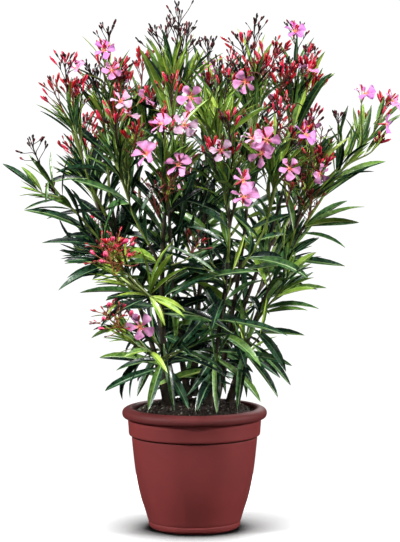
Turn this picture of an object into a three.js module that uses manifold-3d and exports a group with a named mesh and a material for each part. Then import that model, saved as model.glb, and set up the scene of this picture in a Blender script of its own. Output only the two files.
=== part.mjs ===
// A potted oleander: a clump of woody canes that rises from the root ball in a flower pot, forks into
// boughs, and ends in leafy flowering heads, with skirts of leaves round the canes lower down.
// Units are millimetres, +Z is up, and the origin is the centre of the pot's flat underside.

import * as THREE from "three";
import { mergeVertices } from "three/addons/utils/BufferGeometryUtils.js";
import Module from "manifold-3d";

// ---------------------------------------------------------------- driving dimensions

const PLANT_HEIGHT = 955; // pot's underside to the highest flower bud
const CROWN_REACH = 365; // pot's axis to the furthest leaf tip

const POT = {
  height: 222,
  rimRadius: 131.5, // outside of the rolled rim
  collarRadius: 121.5, // top of the plain band under the rim
  collarFoot: 172, // height of the step under that band
  shoulderRadius: 113.5, // widest part of the body, just under the band
  footRadius: 84.5,
  wall: 3,
  floor: 4,
  segments: 24,
};
const ROOT_BALL = { plateauRadius: 78, plateauHeight: 228, edgeRadius: 107, edgeHeight: 205 };

const GAP = 0.35; // clearance between neighbouring solids
const LIMB_SIDES = 6;
const LIMB_STEPS = 5;
const LIMB_TAPER = 0.55; // share of its radius that a limb loses by its tip
const LIMB_BEND = 0.36; // how long a limb keeps the heading of each end, as a share of its length
const CANE_LEAN = 0.2; // outward slope of a cane at the ground
const FORK_PULL = 1.2; // how soon a bough turns from its cane's heading to its own
const LEVEL_LENGTH = 0.2; // share of a cane over which its rings turn from level to square
const FLARE = 0.7; // how much a cane swells where it meets the ground
const FLARE_HEIGHT = 34;
const HEAD_ENTRY = 0.14; // share of a head's length that its limb runs into it
const HEAD_FACETS = [9, 6]; // round a head of foliage, and from its foot to its tip
const SKIRT_FACETS = [8, 6];
const BLUNTNESS = 2.4; // 2 is an ellipsoid, more is boxier
const SWELL = 0.14; // how much wider a mass is towards its top than towards its foot
const LUMP = 0.05; // height of each wave on a mass, as a share of its size
const WAVES = [
  // [direction, rate, shift from one mass to the next]
  ["x", 3.3, 1.7],
  ["y", 3.9, 2.3],
  ["z", 4.4, 0.9],
];
const MASS_FLOOR = POT.height + 9; // no foliage solid reaches below this

// ---------------------------------------------------------------- layout

// A place is [bearing in degrees, reach as % of CROWN_REACH, rise as % of PLANT_HEIGHT].
// Bearing 0 is +X and 90 is +Y.
const named = (keys, rows) => rows.map((row) => Object.fromEntries(keys.map((key, i) => [key, row[i]])));

// A cane stands on the root ball at foot = [bearing, mm from the axis].
// Its head of foliage runs from neck to tip.
const CANES = named(["name", "foot", "radius", "neck", "tip", "girth"], [
  ["left_outer", [150, 58], 5, [175, 44, 68.5], [177, 42, 97], 62],
  ["left_front", [-163, 50], 7, [-121, 29, 57.5], [-105, 37, 87], 76],
  ["centre_left", [125, 18], 4.8, [155, 13, 74.5], [140, 9, 100.5], 64],
  ["centre_front", [-45, 36], 5, [-60, 34, 55.5], [-65, 42, 81], 76],
  ["centre_right", [25, 42], 4.8, [5, 28, 70.5], [12, 31, 98], 68],
  ["right_outer", [-8, 64], 5, [0, 62, 62.5], [0, 100, 84.5], 46],
  ["right_upper", [50, 60], 5, [20, 51, 70.5], [20, 56, 97], 60],
  ["back_centre", [92, 54], 5.5, [80, 33, 66], [80, 42, 93.5], 78],
  ["back_left", [125, 64], 5.5, [134, 41, 64], [124, 47, 90.5], 74],
]);

// A bough leaves the cane named by "from", at that share of its length.
const BOUGHS = named(["name", "from", "at", "radius", "neck", "tip", "girth"], [
  ["left_upper", "left_outer", 0.62, 3.5, [-175, 54, 68], [-175, 67, 90.5], 46],
  ["left_far", "left_outer", 0.36, 4, [-170, 49, 56.5], [-172, 96.5, 75], 54],
  ["left_low_front", "left_front", 0.4, 3.5, [-114, 43, 44.5], [-138, 71, 56.5], 44],
  ["left_foot_front", "left_front", 0.16, 3.5, [-119, 38, 34.5], [-136, 66, 42.5], 40],
  ["left_mid_front", "left_front", 0.68, 3.5, [-143, 39, 60.5], [-141, 51, 85.5], 62],
  ["right_mid_front", "centre_front", 0.6, 3.5, [-37, 45, 58.5], [-39, 53, 83], 64],
  ["right_front", "right_outer", 0.62, 3.5, [-20, 50, 55], [-18, 70, 78.5], 56],
  ["right_low", "right_outer", 0.3, 3.5, [-24, 40, 43.5], [-11, 74, 58], 44],
  ["right_back", "right_upper", 0.55, 3.5, [30, 57, 58.5], [36, 75, 81], 62],
  ["back_right", "back_centre", 0.5, 4, [56, 49, 59], [61, 67, 85], 74],
  ["back_far_left", "back_left", 0.5, 3.5, [152, 51, 55.5], [151, 68, 79], 64],
  ["back_low", "back_centre", 0.34, 4, [92, 46, 46], [92, 74, 70.5], 76],
  ["centre_gap", "centre_left", 0.66, 3.5, [-42, 14, 66], [-45, 16, 93], 60],
  ["left_back_low", "back_left", 0.28, 3.5, [138, 42, 41.5], [141, 73, 59.5], 66],
  ["right_back_low", "right_upper", 0.26, 3.5, [48, 44, 41.5], [46, 77, 60], 66],
]);

// Skirts are leaves that grow straight from the canes: centre as a place, and half sizes in mm.
const SKIRTS = named(["name", "centre", "half"], [
  ["left_mid", [-177, 52, 52.5], [70, 58, 54]],
  ["front_mid", [-80, 30, 50.5], [80, 66, 72]],
  ["front_low", [-88, 24, 35.5], [72, 64, 92]],
  ["left_low", [-174, 25, 36], [70, 62, 92]],
  ["right_low_inner", [-8, 31, 36], [70, 60, 90]],
  ["back_low_inner", [85, 26, 35.5], [92, 66, 88]],
  ["left_centre", [172, 17, 52.5], [66, 62, 76]],
  ["right_centre", [12, 27, 51.5], [66, 62, 76]],
]);

// ---------------------------------------------------------------- materials

const finish = (color, roughness) => new THREE.MeshStandardMaterial({ color, roughness, metalness: 0 });
const MATERIALS = {
  pot: finish(0x7e3535, 0.5),
  soil: finish(0x1d1613, 0.95),
  bark: finish(0x4f4030, 0.85),
  foliage: finish(0x2f5b22, 0.45),
};

// ---------------------------------------------------------------- solids

const WELD = 1e-3; // vertices nearer than this become one

const wasm = await Module();
wasm.setup();

function solidOf(geometry) {
  const bare = new THREE.BufferGeometry();
  bare.setAttribute("position", geometry.getAttribute("position"));
  bare.setIndex(geometry.index);
  const merged = mergeVertices(bare, WELD);
  return new wasm.Manifold(
    new wasm.Mesh({
      numProp: 3,
      vertProperties: new Float32Array(merged.attributes.position.array),
      triVerts: new Uint32Array(merged.index.array),
    }),
  );
}

function geometryOf(solid) {
  const mesh = solid.getMesh();
  const position = new Float32Array(mesh.numVert * 3);
  for (let i = 0; i < mesh.numVert; i++) {
    position.set(mesh.vertProperties.subarray(i * mesh.numProp, i * mesh.numProp + 3), i * 3);
  }
  const geometry = new THREE.BufferGeometry();
  geometry.setAttribute("position", new THREE.BufferAttribute(position, 3));
  geometry.setIndex(new THREE.BufferAttribute(new Uint32Array(mesh.triVerts), 1));
  geometry.computeVertexNormals();
  return geometry;
}

const boxesMeet = (a, b) => [0, 1, 2].every((i) => a.min[i] < b.max[i] && b.min[i] < a.max[i]);

// The solid less every tool that reaches it. Slivers that fall off are dropped.
function cutBy(solid, tools) {
  let left = solid;
  for (const tool of tools) {
    if (boxesMeet(left.boundingBox(), tool.boundingBox())) left = left.subtract(tool);
  }
  return left.decompose().reduce((a, b) => (b.volume() > a.volume() ? b : a));
}

// ---------------------------------------------------------------- pot and root ball

const POT_BELLY = [
  // [share of the height up to the collar, share of the way from foot radius to shoulder radius]
  [0.17, 0.28],
  [0.34, 0.54],
  [0.52, 0.73],
  [0.76, 0.91],
];
const POT_LINING = [POT_BELLY[0], POT_BELLY[2]]; // the inside follows the same curve with fewer steps
const COLLAR_TAPER = 2.5;
const COLLAR_INSIDE = POT.collarRadius - COLLAR_TAPER - POT.wall;
const FOOT_RING = 13; // height of the shallow groove round the foot
const FOOT_BEVEL = 7;
const RIM_OUTLINE = [
  // [mm in from the rim's outside, mm below its top], from its underside over to the mouth
  [5, 20],
  [0, 11],
  [2.5, 4.5],
  [9, 0.6],
  [14.5, 0],
  [22.5, 7],
];
const RIM_FOOT = POT.height - RIM_OUTLINE[0][1];

const ring = (r, z) => new THREE.Vector2(r, z);
const bellyRadius = (share) => POT.footRadius + share * (POT.shoulderRadius - POT.footRadius);
const bellyHeight = (share) => FOOT_RING + share * (POT.collarFoot - FOOT_RING);

function potProfile() {
  const foot = [ring(0, 0), ring(POT.footRadius - FOOT_BEVEL, 0), ring(POT.footRadius - 1, 5)];
  const groove = [ring(POT.footRadius, FOOT_RING - 2), ring(POT.footRadius - 0.6, FOOT_RING)];
  const belly = POT_BELLY.map(([h, r]) => ring(bellyRadius(r), bellyHeight(h)));
  const collar = [
    ring(POT.shoulderRadius, POT.collarFoot - 5),
    ring(POT.collarRadius - COLLAR_TAPER, POT.collarFoot + 4),
    ring(POT.collarRadius, RIM_FOOT - 1),
  ];
  const rim = RIM_OUTLINE.map(([inset, drop]) => ring(POT.rimRadius - inset, POT.height - drop));
  const inside = [
    ring(COLLAR_INSIDE, RIM_FOOT),
    ring(COLLAR_INSIDE, POT.collarFoot + 4),
    ring(POT.shoulderRadius - POT.wall, POT.collarFoot - 6),
    ...POT_LINING.toReversed().map(([h, r]) => ring(bellyRadius(r) - POT.wall, bellyHeight(h))),
    ring(POT.footRadius - POT.wall - 1, FOOT_RING),
    ring(POT.footRadius - POT.wall - FOOT_BEVEL, POT.floor),
    ring(0, POT.floor),
  ];
  return [...foot, ...groove, ...belly, ...collar, ...rim, ...inside];
}

// The compost fills the pot and swells into a raised root ball where the canes stand.
function soilProfile() {
  const away = POT.wall + GAP;
  return [
    ring(0, POT.floor + GAP),
    ring(POT.footRadius - away - FOOT_BEVEL - 0.5, POT.floor + GAP),
    ring(POT.footRadius - away - 1, FOOT_RING),
    ...POT_LINING.map(([h, r]) => ring(bellyRadius(r) - away, bellyHeight(h))),
    ring(POT.shoulderRadius - away, POT.collarFoot - 6),
    ring(COLLAR_INSIDE - GAP, POT.collarFoot + 4.5),
    ring(COLLAR_INSIDE - GAP, ROOT_BALL.edgeHeight - 6),
    ring(ROOT_BALL.edgeRadius, ROOT_BALL.edgeHeight),
    ring(ROOT_BALL.plateauRadius + 12, ROOT_BALL.plateauHeight - 9),
    ring(ROOT_BALL.plateauRadius, ROOT_BALL.plateauHeight),
    ring(0, ROOT_BALL.plateauHeight),
  ];
}

function turned(profile) {
  return new THREE.LatheGeometry(profile, POT.segments).rotateX(Math.PI / 2);
}

// ---------------------------------------------------------------- limbs

const UP = new THREE.Vector3(0, 0, 1);

function place([bearing, reach, rise]) {
  const angle = THREE.MathUtils.degToRad(bearing);
  const r = (reach / 100) * CROWN_REACH;
  return new THREE.Vector3(r * Math.cos(angle), r * Math.sin(angle), (rise / 100) * PLANT_HEIGHT);
}

function standing([bearing, distance]) {
  const angle = THREE.MathUtils.degToRad(bearing);
  const z = ROOT_BALL.plateauHeight + GAP;
  return new THREE.Vector3(distance * Math.cos(angle), distance * Math.sin(angle), z);
}

// A limb's line: it leaves start along "outset" and arrives in its head along the head's own lean.
function limbCurve(start, outset, { neck, tip }) {
  const from = place(neck);
  const lean = place(tip).sub(from);
  const end = from.clone().addScaledVector(lean, HEAD_ENTRY);
  const pull = start.distanceTo(end) * LIMB_BEND;
  const leaving = start.clone().addScaledVector(outset, pull);
  const arriving = end.clone().addScaledVector(lean.clone().normalize(), -pull);
  return new THREE.CubicBezierCurve3(start, leaving, arriving, end);
}

// A tapering limb: a turned profile, bent so that its axis follows the curve.
// A cane's rings lie level at the ground.
function limbGeometry({ curve, radius, isCane }, grow = 0) {
  const length = curve.getLength();
  const profile = [ring(0, -grow)];
  for (let i = 0; i <= LIMB_STEPS; i++) {
    const t = i / LIMB_STEPS;
    const height = t * length;
    const flare = isCane ? FLARE * Math.exp(-height / FLARE_HEIGHT) : 0;
    const slack = i === 0 ? -grow : i === LIMB_STEPS ? grow : 0;
    profile.push(ring(radius * (1 - LIMB_TAPER * t) * (1 + flare) + grow, height + slack));
  }
  profile.push(ring(0, length + grow));

  const geometry = new THREE.LatheGeometry(profile, LIMB_SIDES);
  const heading = curve.getPoint(1).sub(curve.getPoint(0)).setZ(0).normalize();
  const across = new THREE.Vector3(-heading.y, heading.x, 0);
  const position = geometry.getAttribute("position");
  const v = new THREE.Vector3();
  for (let i = 0; i < position.count; i++) {
    v.fromBufferAttribute(position, i);
    const t = THREE.MathUtils.clamp(v.y / length, 0, 1);
    const tangent = curve.getTangent(t);
    const level = isCane ? THREE.MathUtils.smoothstep(t, 0, LEVEL_LENGTH) : 1;
    const normal = UP.clone().lerp(tangent, level).normalize();
    const u = across.clone().addScaledVector(normal, -across.dot(normal)).normalize();
    const w = u.clone().cross(normal);
    const past = v.y - t * length;
    const p = curve.getPoint(t).addScaledVector(normal, past);
    p.addScaledVector(u, v.x).addScaledVector(w, v.z);
    position.setXYZ(i, p.x, p.y, p.z);
  }
  return geometry;
}

function growLimbs() {
  const limbs = new Map();
  for (const cane of CANES) {
    const start = standing(cane.foot);
    const outset = UP.clone().addScaledVector(place(cane.neck).setZ(0).normalize(), CANE_LEAN).normalize();
    const curve = limbCurve(start, outset, cane);
    limbs.set(cane.name, { ...cane, curve, isCane: true });
  }
  for (const bough of BOUGHS) {
    const parent = limbs.get(bough.from);
    const start = parent.curve.getPointAt(bough.at);
    const outset = parent.curve.getTangentAt(bough.at);
    outset.addScaledVector(place(bough.neck).sub(start).normalize(), FORK_PULL).normalize();
    const curve = limbCurve(start, outset, bough);
    limbs.set(bough.name, { ...bough, curve, isCane: false });
  }
  return limbs;
}

// ---------------------------------------------------------------- masses of foliage

function headMass({ name, neck, tip, girth }) {
  const low = place(neck);
  const high = place(tip);
  const axis = high.clone().sub(low);
  const half = axis.length() / 2;
  const centre = low.add(high).divideScalar(2);
  return { name, centre, axis: axis.normalize(), half: [girth, girth * 0.94, half], facets: HEAD_FACETS };
}

function skirtMass({ name, centre, half }) {
  return { name, centre: place(centre), axis: UP.clone(), half, facets: SKIRT_FACETS };
}

// The smooth mass's reach from its centre in a direction: a blunt ellipsoid, wider towards its top.
function reachOf({ axis, half }, direction) {
  const turn = new THREE.Quaternion().setFromUnitVectors(axis, UP);
  const d = direction.clone().applyQuaternion(turn);
  const wide = 1 + SWELL * d.z;
  const shares = [d.x / (half[0] * wide), d.y / (half[1] * wide), d.z / half[2]];
  return shares.reduce((sum, share) => sum + Math.abs(share) ** BLUNTNESS, 0) ** (-1 / BLUNTNESS);
}

// Uneven lumps, different for each mass, on its sides but not at its two ends.
function lumps({ axis }, direction, index) {
  const waves = WAVES.map(([along, rate, shift]) => Math.sin(rate * direction[along] + shift * index));
  const end = Math.abs(direction.dot(axis));
  return 1 + LUMP * (waves[0] + waves[1] + waves[2]) * (1 - end ** 4);
}

const SPREAD = 1 + WAVES.length * LUMP; // the most that lumps add to a mass
const FARTHEST = 1.5; // masses whose centres are this many half sizes apart cannot meet
const PROBES = new THREE.IcosahedronGeometry(1, 3).getAttribute("position");

function massesMeet(a, b) {
  const apart = a.centre.distanceTo(b.centre);
  if (apart > FARTHEST * (Math.max(...a.half) + Math.max(...b.half))) return false;
  const d = new THREE.Vector3();
  for (let i = 0; i < PROBES.count; i++) {
    d.fromBufferAttribute(PROBES, i).normalize();
    const p = a.centre.clone().addScaledVector(d, SPREAD * reachOf(a, d)).sub(b.centre);
    if (p.length() < SPREAD * reachOf(b, p.clone().normalize())) return true;
  }
  return false;
}

// Planes that part a mass from each neighbour it would run into, as { normal, distance } from its centre.
function partings(mass, masses) {
  const meets = (other) => massesMeet(mass, other) || massesMeet(other, mass);
  const near = masses.filter((other) => other !== mass && meets(other));
  return near.map((other) => {
    const normal = other.centre.clone().sub(mass.centre);
    const between = normal.length();
    normal.normalize();
    const mine = reachOf(mass, normal);
    const theirs = reachOf(other, normal.clone().negate());
    return { normal, distance: (between * mine) / (mine + theirs) - GAP };
  });
}

function massGeometry(mass, index, planes) {
  const upright = new THREE.Quaternion().setFromUnitVectors(new THREE.Vector3(0, 1, 0), mass.axis);
  const geometry = new THREE.SphereGeometry(1, ...mass.facets).applyQuaternion(upright);
  const position = geometry.getAttribute("position");
  const floor = { normal: UP.clone().negate(), distance: mass.centre.z - MASS_FLOOR };
  const d = new THREE.Vector3();
  for (let i = 0; i < position.count; i++) {
    d.fromBufferAttribute(position, i).normalize();
    let reach = reachOf(mass, d) * lumps(mass, d, index);
    for (const { normal, distance } of [...planes, floor]) {
      const facing = d.dot(normal);
      if (facing > 0) reach = Math.min(reach, distance / facing);
    }
    const p = mass.centre.clone().addScaledVector(d, reach);
    position.setXYZ(i, p.x, p.y, p.z);
  }
  return geometry;
}

// ---------------------------------------------------------------- assembly

const plant = new THREE.Group();

function add(name, geometry, material) {
  const mesh = new THREE.Mesh(geometry, material);
  mesh.name = name;
  plant.add(mesh);
}

add("pot", turned(potProfile()), MATERIALS.pot);
add("root_ball", turned(soilProfile()), MATERIALS.soil);

const limbs = growLimbs();
const channels = new Map(); // each limb, a little fatter, to cut its neighbours with
for (const [name, limb] of limbs) channels.set(name, solidOf(limbGeometry(limb, GAP)));
for (const [name, limb] of limbs) {
  const solid = solidOf(limbGeometry(limb));
  const cut = limb.isCane ? solid : cutBy(solid, [channels.get(limb.from)]);
  add((limb.isCane ? "cane_" : "bough_") + name, geometryOf(cut), MATERIALS.bark);
}

const masses = [...CANES.map(headMass), ...BOUGHS.map(headMass), ...SKIRTS.map(skirtMass)];
masses.forEach((mass, index) => {
  const solid = solidOf(massGeometry(mass, index, partings(mass, masses)));
  add("foliage_" + mass.name, geometryOf(cutBy(solid, [...channels.values()])), MATERIALS.foliage);
});

export default plant;
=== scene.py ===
"""A potted oleander: bark, twigs, leaves, flowers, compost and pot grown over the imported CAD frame.

Everything is in metres, unless a comment says mm. Limbs are followed along their CAD centrelines, and each
CAD mass of foliage is filled by a seeded branching rule that starts from the limb's end.
"""
import itertools
import math
from collections import namedtuple
from functools import partial

import bmesh
import bpy
import numpy as np
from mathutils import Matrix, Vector
from mathutils.bvhtree import BVHTree


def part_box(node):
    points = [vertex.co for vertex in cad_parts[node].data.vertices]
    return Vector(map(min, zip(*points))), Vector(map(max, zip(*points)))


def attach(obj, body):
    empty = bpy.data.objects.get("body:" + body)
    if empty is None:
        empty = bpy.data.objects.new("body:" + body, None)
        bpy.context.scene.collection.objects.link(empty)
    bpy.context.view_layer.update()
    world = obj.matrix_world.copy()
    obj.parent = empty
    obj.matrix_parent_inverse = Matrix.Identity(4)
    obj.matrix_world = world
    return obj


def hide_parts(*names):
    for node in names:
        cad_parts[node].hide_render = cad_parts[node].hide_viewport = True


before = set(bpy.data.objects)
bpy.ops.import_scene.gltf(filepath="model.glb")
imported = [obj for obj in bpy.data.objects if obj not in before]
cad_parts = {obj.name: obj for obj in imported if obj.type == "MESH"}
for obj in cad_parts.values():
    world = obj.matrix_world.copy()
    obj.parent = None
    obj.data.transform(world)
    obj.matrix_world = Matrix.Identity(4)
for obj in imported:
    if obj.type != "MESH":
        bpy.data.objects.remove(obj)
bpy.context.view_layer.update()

MM = 0.001
TURN = 2 * math.pi
GOLDEN = math.pi * (3 - math.sqrt(5))  # turns shoots evenly round their limb
SPREAD = (math.sqrt(5) - 1) / 2  # deals a palette's shades out evenly among the sprays
UP = np.array([0.0, 0.0, 1.0])
SEED = 41
SEEDS_FROM = dict(mass=0, limb=500, sprig=700, long=800, arm=900, blossom=1000, bark=2000, compost=3000)


def seeded(kind, index=0):
    """The random numbers of one mass, limb, leaf or flower."""
    return np.random.default_rng([SEED, SEEDS_FROM[kind] + index])


# ---------------------------------------------------------------- small helpers


def unit(v):
    return v / max(np.linalg.norm(v), 1e-9)


def blend(a, b, share):
    return unit(unit(a) * (1 - share) + unit(b) * share)


def turned(v, axis, angle):
    """v turned about a unit axis."""
    across = np.cross(axis, v) * math.sin(angle)
    return v * math.cos(angle) + across + axis * np.dot(axis, v) * (1 - math.cos(angle))


def square_to(axis, hint=UP):
    """A unit vector square to axis, near hint."""
    side = hint - axis * np.dot(axis, hint)
    if np.linalg.norm(side) < 1e-3:
        side = np.array([1.0, 0.0, 0.0]) - axis * axis[0]
    return unit(side)


def bezier(a, b, c, d, count):
    t = np.linspace(0, 1, count)[:, None]
    return a * (1 - t) ** 3 + 3 * b * t * (1 - t) ** 2 + 3 * c * t * t * (1 - t) + d * t**3


def circle(count):
    """Angles spaced evenly round a circle."""
    return np.arange(count) * (TURN / count)


def linear(colour):
    """A linear colour from 0 to 255 display values."""
    shares = [value / 255 for value in colour]
    return (*(s / 12.92 if s <= 0.04045 else ((s + 0.055) / 1.055) ** 2.4 for s in shares), 1.0)


def add_object(name, data):
    made = bpy.data.objects.new(name, data)
    bpy.context.scene.collection.objects.link(made)
    return made


# ---------------------------------------------------------------- meshes


class Soup:
    """Quads of one kind gathered from many small shapes, joined into one mesh."""

    def __init__(self):
        self.points, self.faces, self.slots, self.count = [], [], [], 0

    def add(self, points, faces, slot=0):
        self.points.append(points)
        self.faces.append(faces + self.count)
        self.slots.append(np.broadcast_to(slot, len(faces)))
        self.count += len(points)

    def build(self, name, materials):
        mesh = bpy.data.meshes.new(name)
        mesh.from_pydata(np.concatenate(self.points).tolist(), [], np.concatenate(self.faces).tolist())
        for material in materials:
            mesh.materials.append(material)
        slots = np.concatenate(self.slots).astype(np.int32)
        mesh.polygons.foreach_set("material_index", slots)
        mesh.polygons.foreach_set("use_smooth", np.ones(len(slots), dtype=bool))
        mesh.update()
        return add_object(name, mesh)


def grid_faces(rows, columns, closed):
    """Quads between rows of points; a closed grid joins its last column to its first."""
    r, c = np.meshgrid(np.arange(rows - 1), np.arange(columns if closed else columns - 1), indexing="ij")
    after = (c + 1) % columns
    quads = [r * columns + c, r * columns + after, (r + 1) * columns + after, (r + 1) * columns + c]
    return np.stack([q.ravel() for q in quads], axis=1)


def tube(points, radii, sides, relief=None):
    """Rings of points round a line, with the radius at each. relief scales each ring's points."""
    tangents = np.gradient(points, axis=0)
    tangents /= np.linalg.norm(tangents, axis=1)[:, None]
    side = square_to(tangents[0], np.array([1.0, 0.0, 0.0]))
    angles = circle(sides)
    rings = np.empty((len(points), sides, 3))
    for i, tangent in enumerate(tangents):
        side = unit(side - tangent * np.dot(side, tangent))
        other = np.cross(tangent, side)
        reach = radii[i] * (relief[i] if relief is not None else 1.0)
        around = np.cos(angles)[:, None] * side + np.sin(angles)[:, None] * other
        rings[i] = points[i] + around * np.broadcast_to(reach, sides)[:, None]
    return rings.reshape(-1, 3)


def add_tube(soup, points, radii, sides=4, slot=0):
    soup.add(tube(points, radii, sides), grid_faces(len(points), sides, True), slot)


def lathe(profile, segments):
    """Quads round the Z axis from a profile of (radius, height)."""
    angles = circle(segments)
    r = profile[:, 0][:, None]
    z = np.broadcast_to(profile[:, 1][:, None], (len(profile), segments))
    points = np.stack([r * np.cos(angles), r * np.sin(angles), z], axis=2)
    return points.reshape(-1, 3), grid_faces(len(profile), segments, True)


def softened(profile, rounds):
    """The profile with its corners cut, and its two ends kept."""
    for _ in range(rounds):
        near = profile[:-1] * 0.75 + profile[1:] * 0.25
        far = profile[:-1] * 0.25 + profile[1:] * 0.75
        cut = np.stack([near, far], axis=1).reshape(-1, 2)
        profile = np.concatenate([profile[:1], cut[1:-1], profile[-1:]])
    return profile


# ---------------------------------------------------------------- what the CAD says


def node_points(name):
    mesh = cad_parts[name].data
    points = np.empty(len(mesh.vertices) * 3)
    mesh.vertices.foreach_get("co", points)
    return points.reshape(-1, 3)


class Limb:
    """A cane's or bough's centreline and radii, measured by slicing its CAD solid."""

    SLICES = 13

    def __init__(self, name):
        points = node_points(name)
        middle = points.mean(axis=0)
        axis = np.linalg.svd(points - middle)[2][0]
        axis = axis if axis[2] > 0 else -axis
        along = (points - middle) @ axis
        edges = np.array([e.vertices[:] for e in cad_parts[name].data.edges])
        lines, radii = [], []
        for share in np.linspace(0.015, 0.985, self.SLICES):
            level = along.min() + share * (along.max() - along.min())
            a, b = along[edges[:, 0]] - level, along[edges[:, 1]] - level
            cut = a * b < 0
            t = (a / np.where(a == b, 1, a - b))[cut][:, None]
            ring = points[edges[cut, 0]] * (1 - t) + points[edges[cut, 1]] * t
            centre = (ring.min(axis=0) + ring.max(axis=0)) / 2
            lines.append(centre)
            radii.append(np.linalg.norm(ring - centre, axis=1).mean())
        self.line, self.radii = np.array(lines), np.array(radii)
        self.end = self.line[-1]
        self.heading = unit(self.line[-1] - self.line[-3])
        self.stub = self.end - self.heading * 4 * MM  # shoots start from here, just inside the end


class Mass:
    """The convex hull of a CAD mass of foliage."""

    THINNEST = 0.02  # taken where a ray misses the hull

    def __init__(self, name):
        hull = bmesh.new()
        for point in node_points(name):
            hull.verts.new(point)
        made = bmesh.ops.convex_hull(hull, input=hull.verts)
        bmesh.ops.delete(hull, geom=made["geom_interior"], context="VERTS")
        self.points = np.array([v.co[:] for v in hull.verts])
        self.tree = BVHTree.FromBMesh(hull)
        hull.free()
        self.low, self.high = self.points.min(axis=0), self.points.max(axis=0)
        self.centre = (self.low + self.high) / 2

    def outside(self, point):
        """How far a point is outside the mass, less than 0 inside."""
        place, normal, _, distance = self.tree.find_nearest(Vector(point))
        return distance if (Vector(point) - place).dot(normal) > 0 else -distance

    def edge(self, origin, direction):
        """How far it is from a point inside to the mass's edge, by a ray cast back from a metre away."""
        distance = self.tree.ray_cast(Vector(origin + direction), Vector(-direction))[3]
        return 1.0 - distance if distance else self.THINNEST

    def furthest(self, point):
        return self.points[np.linalg.norm(self.points - point, axis=1).argmax()]


# ---------------------------------------------------------------- materials


def new_material(name, roughness, specular=0.5):
    material = bpy.data.materials.new(name)
    material.use_nodes = True
    shader = material.node_tree.nodes["Principled BSDF"]
    shader.inputs["Roughness"].default_value = roughness
    shader.inputs["Specular IOR Level"].default_value = specular
    return material, shader, material.node_tree


def noise_node(tree, scale, detail=3.0):
    place = tree.nodes.new("ShaderNodeTexCoord")
    node = tree.nodes.new("ShaderNodeTexNoise")
    node.inputs["Scale"].default_value = scale
    node.inputs["Detail"].default_value = detail
    tree.links.new(place.outputs["Object"], node.inputs["Vector"])
    return node


def map_range(tree, value, result, low, high, start=0.0, end=1.0):
    """Links a value to a result so that start to end becomes low to high."""
    node = tree.nodes.new("ShaderNodeMapRange")
    for name, number in (("From Min", start), ("From Max", end), ("To Min", low), ("To Max", high)):
        node.inputs[name].default_value = number
    tree.links.new(value, node.inputs["Value"])
    tree.links.new(node.outputs["Result"], result)


def mottle(tree, shader, low, high, scale, detail=3.0):
    """Base colour that drifts between two colours."""
    ramp = tree.nodes.new("ShaderNodeValToRGB")
    for element, position, colour in zip(ramp.color_ramp.elements, (0.34, 0.66), (low, high)):
        element.position, element.color = position, linear(colour)
    tree.links.new(noise_node(tree, scale, detail).outputs["Fac"], ramp.inputs["Fac"])
    tree.links.new(ramp.outputs["Color"], shader.inputs["Base Color"])


def roughen(tree, shader, scale, strength, distance):
    bump = tree.nodes.new("ShaderNodeBump")
    bump.inputs["Strength"].default_value = strength
    bump.inputs["Distance"].default_value = distance
    tree.links.new(noise_node(tree, scale, 4.0).outputs["Fac"], bump.inputs["Height"])
    tree.links.new(bump.outputs["Normal"], shader.inputs["Normal"])


def plain(name, low, high, roughness, scale=60.0, bump=0.0, grain=400.0, specular=0.5, gloss=None):
    """A material whose colour drifts a little, and that may be bumpy, or of a gloss between two values."""
    material, shader, tree = new_material(name, roughness, specular)
    mottle(tree, shader, low, high, scale)
    if gloss:
        noise = noise_node(tree, scale=180)
        map_range(tree, noise.outputs["Fac"], shader.inputs["Roughness"], *gloss, start=0.4, end=0.6)
    if bump:
        roughen(tree, shader, grain, bump, distance=0.4 * MM)
    return material


leaf_skin = partial(plain, scale=130, bump=0.25)
LEAF_SHADES = [
    leaf_skin("leaf_lime", (120, 148, 42), (158, 180, 68), 0.36, gloss=(0.30, 0.52)),
    leaf_skin("leaf_bright", (94, 130, 38), (138, 170, 62), 0.34, gloss=(0.28, 0.50)),
    leaf_skin("leaf_fresh", (66, 104, 38), (112, 148, 64), 0.31, gloss=(0.25, 0.47)),
    leaf_skin("leaf_mid", (26, 60, 30), (76, 116, 59), 0.28, specular=0.4, gloss=(0.28, 0.5)),
    leaf_skin("leaf_deep", (8, 30, 20), (44, 84, 53), 0.26, specular=0.34, gloss=(0.26, 0.48)),
    leaf_skin("leaf_dusk", (1, 8, 7), (12, 36, 27), 0.25, specular=0.3, gloss=(0.25, 0.46)),
]
DARKEST = len(LEAF_SHADES) - 1
LEAF_RIBS = [
    plain("rib_lime", (160, 178, 92), (178, 192, 108), 0.45),
    plain("rib_pale", (112, 140, 84), (134, 160, 100), 0.45),
    plain("rib_dim", (72, 104, 66), (92, 124, 80), 0.45),
]
LEAF_SKINS = LEAF_SHADES + LEAF_RIBS
RIB_SLOT = len(LEAF_SHADES)
RIB_OF_SHADE = (0, 0, 1, 1, 2, 2)
bark_skin = partial(plain, scale=90, grain=260)
BARK_SKINS = [
    bark_skin("bark", (20, 17, 12), (50, 41, 28), 0.82, bump=0.6, specular=0.25),
    bark_skin("young_bark", (80, 98, 36), (108, 124, 50), 0.6, bump=0.3, specular=0.3),
]
OLD_BARK, YOUNG_BARK = range(len(BARK_SKINS))
TWIG_SKINS = [
    plain("twig_green", (84, 98, 40), (106, 120, 54), 0.5),
    plain("twig_brown", (40, 34, 22), (66, 56, 34), 0.6),
]
GREEN, BROWN = range(len(TWIG_SKINS))
STALK_SKINS = [
    plain("stalk_dark", (22, 12, 10), (40, 19, 14), 0.6, specular=0.2),
    plain("stalk_green", (96, 104, 42), (120, 122, 58), 0.5),
    plain("stalk_red", (84, 26, 20), (112, 40, 30), 0.5),
    plain("stalk_orange", (112, 60, 28), (136, 80, 40), 0.5),
]
DARK_STALK, GREEN_STALK, RED_STALK, ORANGE_STALK = range(len(STALK_SKINS))
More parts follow.
